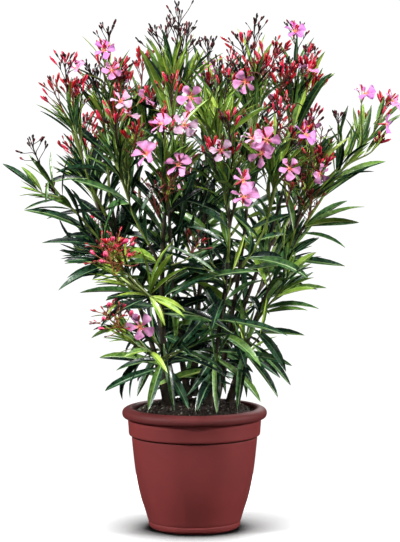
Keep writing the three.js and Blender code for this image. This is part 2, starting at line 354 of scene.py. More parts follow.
BUD_SKINS = [
    plain("bud_dark", (17, 9, 10), (38, 15, 15), 0.5, specular=0.25),
    plain("bud_red", (136, 10, 20), (176, 20, 36), 0.36),
    plain("bud_pink", (198, 44, 92), (220, 84, 122), 0.4),
    plain("bud_rust", (98, 38, 22), (130, 60, 34), 0.55),
    plain("bud_wine", (72, 9, 16), (104, 18, 26), 0.45, specular=0.35),
    plain("bud_crimson", (172, 16, 50), (204, 38, 76), 0.36),
]
DARK, RED, PINK, RUST, WINE, CRIMSON = range(len(BUD_SKINS))
petal_skin = partial(plain, roughness=0.55, scale=120, bump=0.2, grain=500)
PETAL_SKINS = [
    petal_skin("petal_pink", (184, 110, 162), (200, 138, 181)),
    petal_skin("petal_pale", (182, 142, 169), (196, 162, 184)),
    petal_skin("petal_rose", (168, 92, 167), (188, 122, 184)),
    plain("throat", (216, 122, 92), (228, 160, 112), 0.5, scale=200),
    plain("corolla_tube", (160, 20, 46), (190, 46, 70), 0.45),
    plain("petal_foot", (200, 84, 126), (214, 112, 150), 0.5, scale=120),
]
THROAT_SLOT, TUBE_SLOT, FOOT_SLOT = 3, 4, 5


# ---------------------------------------------------------------- leaves

# rows as shares of a leaf's length; half its width and half its midrib's at each, as shares of wide
LEAF_ROWS = np.array([0, 0.05, 0.13, 0.26, 0.42, 0.58, 0.74, 0.88, 0.965, 1.0])
LEAF_HALF = np.array([0.12, 0.15, 0.42, 0.78, 1.0, 1.0, 0.84, 0.5, 0.19, 0.02])
RIB_HALF = np.array([0.10, 0.11, 0.12, 0.115, 0.11, 0.10, 0.085, 0.065, 0.04, 0.01])
LEAF_FACES = grid_faces(len(LEAF_ROWS), 4, False)
ROW_MIDDLES = (LEAF_ROWS[:-1] + LEAF_ROWS[1:]) / 2
ROW_STEPS = np.diff(LEAF_ROWS)
BEND_POWER = 1.4  # a leaf bends more towards its tip


class Leaf(namedtuple("Leaf", "base heading face length droop sway twist fold wide shades")):
    """A leaf that bends down by droop, aside by sway and round by twist, with its halves folded up. A darker
    half is painted shade.
    """

    def spine(self):
        bend = self.droop * ROW_MIDDLES**BEND_POWER
        along = np.concatenate([[0], np.cumsum(np.cos(bend) * ROW_STEPS)])
        down = np.concatenate([[0], np.cumsum(np.sin(bend) * ROW_STEPS)])
        points = along[:, None] * self.heading - down[:, None] * self.face
        points = points + (self.sway * LEAF_ROWS**2)[:, None] * np.cross(self.heading, self.face)
        return self.base + self.length * points

    def add_to(self, soup):
        spine = self.spine()
        flat = np.cross(self.heading, self.face)
        bend = self.droop * LEAF_ROWS**BEND_POWER
        face = np.cos(bend)[:, None] * self.face + np.sin(bend)[:, None] * self.heading
        turn = self.twist * LEAF_ROWS
        side = np.cos(turn)[:, None] * flat + np.sin(turn)[:, None] * face
        face = np.cos(turn)[:, None] * face - np.sin(turn)[:, None] * flat
        half = self.wide * LEAF_HALF
        rib = side * np.minimum(self.wide * RIB_HALF, half * 0.6)[:, None]
        out = side * (np.cos(self.fold) * half)[:, None]
        lift = face * (np.sin(self.fold) * half)[:, None]
        columns = [spine - out + lift, spine - rib, spine + rib, spine + out + lift]
        # each half of the blade takes its own shade; a darker half is painted shade of the half turned from
        # the light
        near, far = self.shades
        rib_slot = RIB_SLOT + RIB_OF_SHADE[min(near, far)]
        slots = np.tile([near, rib_slot, far], len(ROW_STEPS))
        soup.add(np.stack(columns, axis=1).reshape(-1, 3), LEAF_FACES, slots)


# ---------------------------------------------------------------- flowers and buds

# a petal's rows and columns, and half its width at each row; a bud's rings, and its radius at each as a
# share of the greatest
PETAL_ROWS = np.array([0, 0.16, 0.34, 0.54, 0.74, 0.9, 1.0])
PETAL_HALF = np.array([0.06, 0.08, 0.14, 0.23, 0.32, 0.35, 0.24])
PETAL_COLUMNS = np.array([-1, -0.5, 0, 0.5, 1])
PETAL_FACES = grid_faces(len(PETAL_ROWS), len(PETAL_COLUMNS), False)
PETAL_THROAT = np.repeat(PETAL_ROWS[:-1] < 0.1, len(PETAL_COLUMNS) - 1)
PETAL_FOOT = np.repeat(PETAL_ROWS[:-1] < 0.3, len(PETAL_COLUMNS) - 1)
BUD_RINGS = np.array([0, 0.12, 0.42, 0.72, 0.93, 1.0])
BUD_HALF = np.array([0.35, 0.62, 0.9, 1.0, 0.5, 0.05])
# a flower's tube as shares of its radius: rings forward of the flower's middle, and their radii
TUBE_RINGS = np.array([0.2, 0.08, 0.0, -0.25, -0.7])
TUBE_RADII = np.array([0.01, 0.07, 0.1, 0.09, 0.05])
PETALS, TUBE_SIDES, BUD_SIDES = 5, 8, 6
SMALL_BUD = 0.18  # a small bud's radius by its length
BRACT_BROAD = 0.12  # half a bract's width by its length
# whorls of arms on a flower head: share of the way along its axis, and length as a share of its size
HEAD_WHORLS = ((0.2, 0.52), (0.44, 0.46), (0.66, 0.36), (0.86, 0.24))
HEAD_ARMS = 3
twigs, stalks, bracts, buds, flowers = (Soup() for _ in range(5))


def petal_points(opening, ruffle):
    """One petal of unit length on +X, rising by opening and pulled round like a vane."""
    s, t = np.meshgrid(PETAL_ROWS, PETAL_COLUMNS, indexing="ij")
    half = np.repeat(PETAL_HALF[:, None], len(PETAL_COLUMNS), axis=1)
    x = 0.06 + s * (0.98 - 0.1 * t * t - 0.12 * t)
    y = t * half + 0.2 * s * s
    z = opening * (s * 0.9 - 0.55 * s * s) + 0.2 * t * s + ruffle * np.sin(3 * t + 5 * s) * s
    return np.stack([x, y, z], axis=2).reshape(-1, 3)


def add_flower(place, facing, radius, skin, rng):
    """A flower of five vaned petals round a short tube, facing outward."""
    side = turned(square_to(facing), facing, rng.uniform(0, TURN))
    basis = np.array([side, np.cross(facing, side), facing])
    opening = rng.uniform(0.2, 1.0)
    slots = np.where(PETAL_THROAT, THROAT_SLOT, np.where(PETAL_FOOT, FOOT_SLOT, skin))
    for k in range(PETALS):
        angle = k * TURN / PETALS + rng.normal(0, 0.08)
        petal = petal_points(opening + rng.normal(0, 0.18), rng.uniform(0.05, 0.13))
        c, s = math.cos(angle), math.sin(angle)
        spun = petal @ np.array([[c, s, 0], [-s, c, 0], [0, 0, 1]])
        flowers.add(place + radius * rng.uniform(0.88, 1.1) * spun @ basis, PETAL_FACES, slots)
    rings = place + (radius * TUBE_RINGS)[:, None] * facing
    tube_slots = np.repeat([THROAT_SLOT, THROAT_SLOT, TUBE_SLOT, TUBE_SLOT], TUBE_SIDES)
    add_tube(flowers, rings, radius * TUBE_RADII, TUBE_SIDES, tube_slots)


def add_bud(place, heading, length, skin, girth):
    rings = place + BUD_RINGS[:, None] * heading * length
    add_tube(buds, rings, length * girth * BUD_HALF, BUD_SIDES, skin)


def add_stalk(start, heading, end, thick, slot, count=4):
    """A stalk that leaves start along heading; the heading at its end is returned."""
    reach = np.linalg.norm(end - start)
    line = bezier(start, start + heading * reach * 0.4, end - unit(end - start) * reach * 0.3, end, count)
    add_tube(stalks, line, np.linspace(thick, thick * 0.6, count), slot=slot)
    return unit(line[-1] - line[-2])


def add_cyme(start, heading, size, tone, rng):
    """A loose flower head: an axis with whorls of arms, a bud at each arm's end and others beside it."""
    thick = tone.thick * MM

    def bud_on(base, along, foot, ripe):
        bud_heading = add_stalk(base, along, foot, 0.6 * thick, tone.stalk, 3)
        length = rng.uniform(*(tone.ripe_length if ripe else tone.bud_length)) * MM
        skin = rng.choice(tone.ripe if ripe else tone.buds)
        add_bud(foot, bud_heading, length, skin, tone.ripe_girth if ripe else SMALL_BUD)

    crown = start + heading * size * 0.8 + rng.normal(0, 0.04, 3) * size
    axis = Shoot(curved(start, heading, crown, blend(heading, UP, 0.3), 6))
    add_tube(stalks, axis.line, np.linspace(1.1, 0.7, len(axis.line)) * thick, slot=tone.stalk)
    spin = rng.uniform(0, TURN)
    for share, arm in HEAD_WHORLS:
        base, along = axis.part(share + rng.normal(0, 0.03))
        side = square_to(along)
        for _ in range(HEAD_ARMS):
            spin += TURN / HEAD_ARMS + rng.normal(0, 0.3)
            if rng.random() < 0.34:  # a third of the arms never grew
                continue
            away = turned(side, along, spin)
            arm_heading = unit(along + away * tone.spread * rng.uniform(0.6, 1.4))
            arm_end = base + arm_heading * size * arm * rng.uniform(0.7, 1.15)
            if tone.bract and rng.random() < 0.6:
                side_heading = blend(arm_heading, away, 0.5)
                face = square_to(side_heading)
                length = tone.bract * rng.uniform(0.7, 1.3) * MM
                # a bract's halves may differ by a shade: painted shade of the half turned from the light
                wide, shades = length * BRACT_BROAD, (0, int(rng.choice([0, 1, 1])))
                Leaf(base, side_heading, face, length, 0.3, 0, 0, 0.4, wide, shades).add_to(bracts)
            arm_heading = add_stalk(base, along, arm_end, 0.75 * thick, tone.stalk)
            for j in range(tone.bunch):
                if j > 0 and rng.random() < 0.3:
                    continue
                lean = turned(away, arm_heading, j * 2.2) * (0.05 if j == 0 else 0.55)
                bud_heading = unit(arm_heading + lean + UP * 0.2 + rng.normal(0, 0.1, 3))
                reach = size * (0.12 if j == 0 else 0.15) * rng.uniform(0.5, 1.4)
                ripe = rng.random() < tone.ripeness * (1.0 if j == 0 else 0.3)
                bud_on(arm_end, arm_heading, arm_end + bud_heading * reach, ripe)
        spin += math.pi / 3
    bud_on(axis.line[-1], heading, axis.line[-1] + heading * 3 * MM, tone.ripeness > 0.3)


# ---------------------------------------------------------------- how each mass grows

# weights: of LEAF_SHADES, lightest first. ageing_and_shade: how many shades a leaf darkens further from its
# shoot's tip, partly its age and partly painted shade deep in the crown. slimness: half a leaf's width by
# its length.
Palette = namedtuple("Palette", "weights ageing slimness")
# The sun palette goes to masses high and outside, and the darker shade and deep palettes to masses low and
# inside: partly young and old growth, partly painted light and shade
PALETTES = {
    "sun": Palette((0.26, 0.32, 0.22, 0.11, 0.06, 0.03), 1.9, 0.047),
    "noon": Palette((0.15, 0.28, 0.26, 0.17, 0.10, 0.04), 2.0, 0.052),
    "shade": Palette((0.01, 0.06, 0.22, 0.29, 0.24, 0.18), 1.5, 0.062),
    "deep": Palette((0.0, 0.04, 0.16, 0.28, 0.28, 0.24), 1.5, 0.065),
    "arm": Palette((0.14, 0.26, 0.28, 0.18, 0.10, 0.04), 1.8, 0.066),
    "lime": Palette((0.60, 0.30, 0.07, 0.03, 0.0, 0.0), 0.6, 0.056),
}
# Kinds of flower head. Lengths and thick are in mm. ripe_girth: a large bud's radius by its length.
# ripeness: the share of arms that end in a large bud. spread: how far the arms lean out. thick: a stalk's
# radius. bunch: the buds on an arm. bract: the length of its small leaf, if there are any.
Tone = namedtuple(
    "Tone", "stalk buds bud_length ripe ripe_length ripe_girth ripeness spread thick bunch bract"
)
TONES = {
    name: Tone(*row)
    for name, *row in (
        ("dark", DARK_STALK, [DARK, DARK, DARK, WINE], (7, 11), [WINE], (10, 15),
            0.15, 0.12, 0.55, 1.25, 3, 0),
        ("open", DARK_STALK, [DARK, DARK, WINE], (8, 12), [WINE], (12, 17),
            0.14, 0.2, 1.5, 1.3, 2, 0),
        ("wine", DARK_STALK, [DARK, WINE, WINE], (7, 12), [RED, CRIMSON], (15, 22),
            0.12, 0.36, 0.55, 1.2, 3, 0),
        ("red", RED_STALK, [WINE, RED, DARK], (8, 13), [RED, RED, CRIMSON], (15, 23),
            0.12, 0.62, 0.5, 1.15, 3, 0),
        ("pink", ORANGE_STALK, [RED, WINE, WINE, CRIMSON], (6, 10), [PINK, CRIMSON, PINK, RED], (11, 16),
            0.28, 0.30, 1.4, 1.4, 3, 28),
        ("old", RED_STALK, [RUST, WINE, DARK, WINE], (5, 9), [RED, WINE], (9, 14),
            0.16, 0.25, 0.8, 1.1, 4, 20),
    )
}  # fmt: skip
# leaf and head_size are in mm, and kept is the share of leaves that haven't fallen. The flower heads of a
# mass take its tones in turn, from its tip outwards. The masses in ARMS have their shoots and heads there.
Growth = namedtuple("Growth", "shoots leaf droop palette heads head_size tones kept")
GROWTH = {
    name: Growth(*row)
    for name, *row in (
        ("left_outer", 9, 90, 0.05, "sun", 7, 58, ("dark", "red", "wine"), 0.72),
        ("left_front", 9, 96, 0.2, "sun", 4, 58, ("wine", "old"), 0.9),
        ("centre_left", 9, 108, -0.05, "sun", 5, 84, ("dark",), 0.66),
        ("centre_front", 9, 100, 0.25, "noon", 4, 58, ("wine", "old"), 0.9),
        ("centre_right", 9, 94, 0.0, "sun", 6, 68, ("dark", "wine", "red"), 0.7),
        ("right_outer", 0, 84, -0.1, "arm", 0, 0, ("red", "dark", "wine"), 0.6),
        ("right_upper", 9, 94, 0.0, "sun", 5, 66, ("dark", "wine", "dark", "red"), 0.7),
        ("back_centre", 9, 106, 0.2, "noon", 4, 56, ("dark", "wine"), 0.8),
        ("back_left", 9, 106, 0.2, "noon", 4, 56, ("red", "wine"), 0.8),
        ("left_upper", 7, 86, 0.05, "sun", 6, 62, ("wine", "red"), 0.75),
        ("left_far", 0, 72, 0.1, "arm", 0, 0, ("open", "dark"), 0.26),
        ("left_low_front", 5, 84, 0.4, "lime", 3, 72, ("pink",), 0.6),
        ("left_foot_front", 4, 80, 0.4, "lime", 3, 70, ("pink",), 0.5),
        ("left_mid_front", 9, 94, 0.2, "sun", 3, 60, ("wine", "red"), 0.9),
        ("right_mid_front", 9, 96, 0.2, "sun", 5, 60, ("wine", "old", "red"), 0.9),
        ("right_front", 8, 100, 0.25, "noon", 6, 58, ("old", "old", "wine"), 0.85),
        ("right_low", 0, 68, 0.5, "arm", 0, 0, (), 0.6),
        ("right_back", 8, 106, 0.25, "noon", 3, 66, ("red", "wine"), 0.9),
        ("back_right", 9, 106, 0.25, "noon", 4, 70, ("wine",), 0.9),
        ("back_far_left", 8, 106, 0.25, "noon", 3, 70, ("red",), 0.9),
        ("back_low", 8, 116, 0.35, "shade", 2, 60, ("red",), 0.9),
        ("centre_gap", 8, 96, 0.0, "lime", 3, 56, ("dark", "wine"), 0.75),
        ("left_back_low", 7, 118, 0.4, "shade", 1, 56, ("pink",), 0.9),
        ("right_back_low", 7, 118, 0.4, "shade", 1, 56, ("red",), 0.9),
        ("left_mid", 6, 112, 0.5, "deep", 0, 0, (), 0.56),
        ("front_mid", 5, 118, 0.4, "shade", 1, 54, ("old",), 0.5),
        ("front_low", 3, 124, 0.6, "shade", 0, 0, (), 0.5),
        ("left_low", 3, 120, 0.6, "deep", 0, 0, (), 0.48),
        ("right_low_inner", 3, 116, 0.6, "noon", 0, 0, (), 0.48),
        ("back_low_inner", 6, 128, 0.6, "deep", 0, 0, (), 0.9),
        ("left_centre", 4, 122, 0.4, "deep", 0, 0, (), 0.5),
        ("right_centre", 4, 122, 0.4, "deep", 0, 0, (), 0.5),
    )
}
# Two arms and a low spray that stand clear of the crown: the tips of their shoots as bearing in degrees,
# reach and height in mm, the size of the flower head there in mm, and how far along the first shoot the
# others branch off
ARMS = {
    "right_outer": [
        (0, 335, 742, 34, 0.0), (-3, 299, 768, 0, 0.5), (-5, 258, 725, 28, 0.15), (2, 324, 689, 18, 0.3),
        (5, 286, 691, 0, 0.2), (7, 306, 715, 26, 0.4), (9, 271, 693, 0, 0.1),
    ],
    "left_far": [
        (-171, 277, 658, 60, 0.0), (-172, 284, 618, 0, 0.4), (-177, 249, 606, 24, 0.25),
    ],
    "right_low": [
        (-16, 172, 497, 0, 0.0), (-20, 168, 532, 0, 0.55), (-22, 176, 452, 0, 0.1),
        (-12, 178, 474, 0, 0.35),
    ],
}  # fmt: skip

# The tables below are in groups, each headed by the name of a mass or limb.
# Single leaves on the arms: shoot, how far along it, and the leaf's tip and shades as in LONG_LEAVES
ARM_LEAVES = [
    ("left_far", (1, 1.0, -172, 347, 660, 5, 4), (1, 0.8, -172, 316, 656, 2, 1),
        (0, 0.25, -171, 303, 598, 1, 2), (0, 0.80, -169, 268, 596, 3, 2), (0, 0.12, -171, 244, 626, 4, 5),
        (0, 0.02, -169, 228, 617, 3, 4), (0, 0.0, -171, 197, 618, 5, 4)),
    ("right_outer", (0, 0.1, -1, 346, 658, 2, 4), (2, 0.2, -6, 262, 690, 1, 3)),
]  # fmt: skip
# Open flowers: bearing in degrees, share of the mass's height, petal skin, radius in mm, and for one the mm
# out from the mass
BLOSSOM = [
    ("left_outer", (-92, 0.75, 2, 21), (-144, 0.61, 0, 21), (-80, 0.60, 0, 20)),
    ("left_mid_front", (-78, 0.85, 1, 22), (-66, 0.75, 1, 20), (-8, 0.87, 0, 21)),
    ("left_front", (-105, 0.68, 0, 25), (-77, 0.68, 1, 24), (-67, 0.85, 0, 24), (-129, 0.49, 0, 25),
        (-84, 0.43, 0, 26)),
    ("centre_gap", (-38, 0.73, 0, 23)),
    ("right_upper", (-107, 0.88, 2, 23), (-77, 0.55, 0, 23)),
    ("right_outer", (-83, 0.90, 2, 24), (-30, 0.83, 0, 23), (-49, 0.61, 2, 22)),
    ("centre_front", (-57, 0.78, 1, 21)),
    ("right_mid_front", (-113, 0.64, 0, 27), (-123, 0.53, 0, 25), (-46, 0.68, 2, 25), (-76, 0.41, 0, 22)),
    ("right_front", (-82, 0.55, 0, 20)),
    ("centre_front", (-70, 0.46, 0, 27), (-65, 0.33, 0, 27), (-100, 0.69, 1, 22)),
    ("left_low", (-92, 0.72, 0, 28, 62)),
    ("back_left", (120, 0.80, 0, 23), (80, 0.62, 1, 23), (150, 0.55, 2, 22)),
    ("back_centre", (92, 0.72, 0, 24), (130, 0.60, 0, 23), (60, 0.66, 1, 23)),
    ("back_right", (60, 0.78, 0, 24), (20, 0.62, 2, 22), (95, 0.50, 1, 23)),
    ("back_far_left", (100, 0.75, 0, 23), (75, 0.52, 1, 22)),
    ("right_back", (80, 0.78, 0, 23), (100, 0.55, 2, 22)),
    ("back_low", (95, 0.70, 0, 24), (60, 0.48, 1, 23)),
    ("left_back_low", (95, 0.66, 0, 23)),
    ("right_back_low", (90, 0.62, 1, 23)),
    ("centre_right", (70, 0.45, 0, 22)),
    ("centre_left", (110, 0.40, 1, 22)),
]  # fmt: skip
# Flower heads on side twigs: bearing in degrees, share of the mass's height, tone, size in mm, and for some
# the mm out from the mass, less than 0 inside it
SPRIGS = [
    ("right_front", (-112, 0.42, "old", 54), (-100, 0.24, "old", 50), (-95, 0.62, "old", 48)),
    ("right_mid_front", (-62, 0.22, "old", 54)),
    ("left_front", (-132, 0.20, "old", 60), (-100, 0.28, "old", 50)),
    ("centre_front", (-112, 0.62, "wine", 48)),
    ("left_mid_front", (-50, 0.55, "red", 48)),
    ("left_low_front", (-92, 0.70, "pink", 70, -44), (-128, 0.62, "pink", 66, -32),
        (-62, 0.60, "pink", 60, -30)),
    ("left_foot_front", (-122, 0.72, "pink", 62, -30)),
    ("centre_right", (-66, 0.62, "red", 64), (-44, 0.42, "red", 60)),
    ("right_upper", (-118, 0.46, "wine", 56), (-70, 0.34, "red", 58)),
]  # fmt: skip
# Long single leaves that reach past the rest or hang over the pot's edge: share of the limb's length, place
# of the leaf's tip as bearing in degrees, reach and height in mm, and the shades of its two halves, a darker
# half being painted shade
LONG_LEAVES = [
    ("right_outer", (0.80, -4, 309, 574, 2, 4), (0.80, -10, 291, 551, 1, 3), (0.78, 2, 281, 588, 3, 5),
        (0.94, -2, 344, 656, 3, 4)),
    ("right_low", (0.90, -17, 236, 499, 1, 2)),
    ("right_outer", (0.45, -15, 236, 428, 2, 3), (0.40, -24, 224, 394, 3, 4), (0.30, -18, 198, 351, 4, 2),
        (0.20, -23, 176, 294, 3, 4)),
    ("right_low", (0.30, -33, 222, 473, 2, 4)),
    ("right_upper", (0.97, -12, 268, 822, 3, 4), (0.99, 12, 256, 858, 0, 2)),
    ("left_far", (0.80, -171, 312, 565, 3, 4), (0.70, -167, 273, 514, 4, 5),
        (0.50, -158, 242, 433, 5, 4)),
    ("left_low_front", (0.98, -108, 190, 388, 0, 1), (0.95, -98, 190, 402, 1, 0),
        (0.98, -104, 197, 528, 0, 2), (0.90, -135, 215, 428, 4, 5)),
    ("left_foot_front", (0.98, -106, 196, 306, 0, 1), (0.95, -121, 222, 332, 1, 2),
        (0.50, -130, 197, 300, 3, 4)),
    ("left_outer", (0.25, -145, 228, 372, 4, 5)),
    ("left_front", (0.56, -60, 196, 461, 3, 4)),
    ("centre_front", (0.60, -79, 184, 383, 4, 5)),
    ("left_front", (0.50, -76, 186, 362, 5, 3)),
    ("back_left", (0.45, 150, 236, 410, 3, 4), (0.60, 118, 232, 440, 4, 2)),
    ("back_centre", (0.50, 100, 236, 400, 3, 5), (0.62, 66, 230, 452, 2, 4)),
    ("right_upper", (0.50, 34, 236, 420, 4, 3)),
    ("left_front", (0.24, -130, 119, 229, 4, 2), (0.33, -112, 108, 229, 5, 3)),
    ("centre_front", (0.19, -86, 113, 229, 3, 4), (0.30, -70, 116, 227, 4, 2)),
    ("right_outer", (0.26, -49, 124, 227, 5, 3)),
    ("centre_front", (0.26, -35, 127, 229, 2, 3)),
    ("left_outer", (0.20, -156, 144, 240, 3, 4)),
    ("right_outer", (0.22, -16, 144, 240, 4, 3)),
    ("back_left", (0.22, 140, 124, 229, 4, 3)),
    ("back_centre", (0.20, 96, 118, 229, 3, 4)),
    ("right_upper", (0.24, 44, 124, 229, 4, 2)),
    ("back_centre", (0.30, 70, 116, 229, 5, 3)),
    ("left_front", (0.97, -154, 162, 642, 4, 5), (0.88, -148, 151, 610, 5, 3)),
    ("left_outer", (0.62, -135, 112, 603, 4, 5)),
    ("left_mid_front", (0.50, -160, 172, 609, 5, 4)),
    ("left_outer", (0.80, -146, 142, 660, 4, 3)),
    ("left_front", (0.80, -160, 150, 560, 4, 5)),
    ("centre_left", (0.98, -168, 98, 884, 1, 0), (0.96, -164, 112, 864, 1, 2),
        (0.99, -169, 54, 894, 2, 1)),
    ("left_mid_front", (1.0, -160, 115, 679, 4, 3), (0.95, -155, 95, 661, 5, 4)),
    ("left_front", (1.0, -154, 112, 651, 4, 5), (1.0, -149, 97, 633, 3, 4)),
    ("left_mid_front", (0.9, -161, 155, 662, 5, 5)),
    ("left_front", (0.92, -153, 133, 638, 5, 4)),
    ("right_low", (0.90, -13, 230, 431, 1, 2), (0.98, -21, 226, 458, 2, 1), (0.50, -17, 208, 394, 2, 3)),
    ("left_low_front", (0.98, -103, 172, 508, 0, 1), (0.98, -94, 165, 483, 1, 0),
        (0.98, -117, 186, 522, 1, 1), (0.98, -98, 172, 406, 0, 0), (0.98, -130, 209, 433, 1, 0)),
]  # fmt: skip


def each(table):
    """A table's entries in order, each with its group's name first."""
    return [(name, *entry) for name, *entries in table for entry in entries]


# ---------------------------------------------------------------- rules of growth

FORK_RADII = (3.0 * MM, 2.3 * MM)  # a fork's radius at its start and end
TWIG_RADII = (2.2 * MM, 1.3 * MM)
FORKS = 3
TWIG_SIDES = 5
FAN = math.radians(78)  # how far a head's outermost shoots lean from its axis
WHORL = 3
TRIES = 3  # how often a leaf is closed up before it is given up
TUFT = 42 * MM  # how far the youngest leaves stand past a shoot's tip
GROWN = 50 * MM  # a leaf this far from its shoot's tip has its full length
AGED = 130 * MM  # and one this far is as old as it gets
BROAD = 0.08  # half a cane leaf's width by its length
BROADEST = 9 * MM  # and the most that it may be
SUNNY = 80 * MM  # the cane leaves on this side of the plant are painted a shade paler: painted light on their lit side
CANE_SHADES = [2, 3, 3, 4, 4, 5, 5, 5, 5]
STRAY = 13 * MM  # how far a leaf's tip may pass the masses
HANG = 26 * MM  # the same, for a leaf that grows straight from a cane
NEAR = 0.24  # a leaf keeps to the masses whose centres are this near
SHOOT_ROLL, CANE_ROLL = 0.3, 0.9  # how strongly a leaf's face is turned to the front or the back
FRONT = 20 * MM  # leaves before this face the front, and the others the back
SOIL = 0.23  # no leaf reaches below this over the pot
RIM_REACH = 0.138  # the pot's radius, with a little to spare
BLOSSOM_SIZE = 0.9


class Shoot:
    """A line to grow along, with its radii at both ends and the size of the flower head at its tip."""

    def __init__(self, line, radii=None, leafy=False, bloom=0.0):
        self.line, self.radii, self.leafy, self.bloom = line, radii, leafy, bloom
        self.lengths = np.concatenate([[0], np.cumsum(np.linalg.norm(np.diff(line, axis=0), axis=1))])

    def at(self, distance):
        """The point that far along, and the heading there."""
        point = np.array([np.interp(distance, self.lengths, self.line[:, i]) for i in range(3)])
        k = int(np.clip(np.searchsorted(self.lengths, distance, side="right"), 1, len(self.line) - 1))
        return point, unit(self.line[k] - self.line[k - 1])

    def part(self, share):
        return self.at(self.lengths[-1] * share)


def spot(bearing, reach, height):
    """A point in metres, from a bearing in degrees and a reach and height in mm."""
    angle = math.radians(bearing)
    return np.array([reach * math.cos(angle), reach * math.sin(angle), height]) * MM


def curved(start, heading, end, arrival, count=9):
    reach = np.linalg.norm(end - start)
    return bezier(start, start + heading * reach * 0.36, end - arrival * reach * 0.3, end, count)


def head_shoots(mass, limb, growth, rng):
    """Shoots that fan from a limb's end, by way of three forks, to just inside the mass's edge."""
    tip = mass.furthest(limb.end)
    axis = unit(tip - limb.end)
    length = np.linalg.norm(tip - limb.end)
    side = square_to(axis)
    start = rng.uniform(0, TURN)
    forks = []
    for k in range(FORKS):
        away = turned(side, axis, start + k * TURN / FORKS + rng.normal(0, 0.2))
        heading = unit(axis + away * 0.25)
        end = limb.end + heading * length * rng.uniform(0.16, 0.28)
        forks.append(Shoot(curved(limb.stub, limb.heading, end, heading, 6), FORK_RADII))
    shoots = list(forks)
    hub = limb.end + axis * length * 0.32
    for k in range(growth.shoots):
        polar = FAN * math.sqrt(k / growth.shoots)
        away = turned(side, axis, start + k * GOLDEN)
        direction = unit(axis * math.cos(polar) + away * math.sin(polar))
        bloom = 0.0
        if k < growth.heads and direction[2] > 0.4:
            bloom = growth.head_size * MM * rng.uniform(0.85, 1.1)
        reach = mass.edge(hub, direction)
        room = max(bloom * 1.12 + 6 * MM, TUFT * rng.uniform(0.8, 1.5))
        end = hub + direction * max(reach - room, reach * 0.2)
        fork = max(forks, key=lambda f: np.dot(unit(f.line[-1] - limb.end), direction))
        point, heading = fork.part(rng.uniform(0.4, 1.0))
        arrival = blend(direction, blend(axis, UP, 0.5), 0.4)
        shoots.append(Shoot(curved(point, heading, end, arrival), TWIG_RADII, True, bloom))
    return shoots


def arm_shoots(limb, tips):
    """Shoots to given tips, the first from the limb's end and the others from the first."""
    shoots = []
    for *place, bloom, share in tips:
        end = spot(*place)
        point, heading = shoots[0].part(share) if shoots else (limb.stub, limb.heading)
        line = curved(point, heading, end, blend(end - point, UP, 0.35), 12)
        shoots.append(Shoot(line, TWIG_RADII, True, bloom * MM))
    return shoots


def skirt_shoots(mass, growth, rng):
    """Side shoots from the limbs that pass near a skirt, out to just inside its edge."""
    shoots = []
    for k in range(growth.shoots):
        azimuth = k * GOLDEN + rng.normal(0, 0.2)
        rise = -0.35 + 1.1 * (k + 0.5) / growth.shoots
        direction = unit(np.array([math.cos(azimuth), math.sin(azimuth), rise]))
        end = mass.centre + direction * mass.edge(mass.centre, direction) * rng.uniform(0.45, 0.62)
        best = None
        for limb in limbs.values():
            drop = end[2] - limb.line[:, 2]
            cost = np.linalg.norm(limb.line - end, axis=1) + np.where(drop < 30 * MM, 60 * MM, 0)
            i = int(cost.argmin())
            if best is None or cost[i] < best[0]:
                best = (cost[i], limb, i)
        _, limb, i = best
        tangent = unit(limb.line[min(i + 1, len(limb.line) - 1)] - limb.line[max(i - 1, 0)])
        arrival = unit(end - limb.line[i] + UP * 20 * MM)
        bloom = growth.head_size * MM if k >= growth.shoots - growth.heads else 0.0
        shoots.append(Shoot(curved(limb.line[i], tangent, end, arrival), TWIG_RADII, True, bloom))
    return shoots


def masses_near(point):
    return [m for m in masses.values() if np.linalg.norm(m.centre - point) < NEAR]


def facing_out(face, heading, point, roll):
    """The leaf's face rolled about its own line towards the front or the back, whichever is nearer."""
    side = np.array([0.0, -1.0 if point[1] < FRONT else 1.0, 0.0])
    return square_to(heading, face + roll * side)


def grow_leaf(soup, point, tangent, away, angle, length, wide, bend, droop, roll, shade, stray, near, rng):
    """Adds one leaf of a whorl, closed up until its tip is in or near a mass, or none if it can't be."""
    sway, twist, fold = rng.normal(0, 0.07), rng.normal(0, 0.5), rng.uniform(0.25, 0.8)
    wide *= rng.uniform(0.88, 1.12)
    # the leaf's other half is most often a darker shade: painted shade of the half turned from the light
    other = int(np.clip(shade + rng.choice([-1, 0, 1, 2, 3]), 0, DARKEST))
    shades = (shade, other) if rng.random() < 0.5 else (other, shade)
    base = point + away * 1.2 * MM
    for _ in range(TRIES):
        heading = blend(unit(tangent * math.cos(angle) + away * math.sin(angle)), -UP, droop)
        face = facing_out(square_to(heading, tangent + UP * 0.35), heading, point, roll)
        leaf = Leaf(base, heading, face, length, bend, sway, twist, fold, length * wide, shades)
        spine = leaf.spine()
        clear = np.all((spine[:, 2] > SOIL) | (np.hypot(spine[:, 0], spine[:, 1]) > RIM_REACH))
        if clear and min(m.outside(spine[-1]) for m in near) < stray:
            leaf.add_to(soup)
            return
        angle *= 0.78
        length *= 0.94


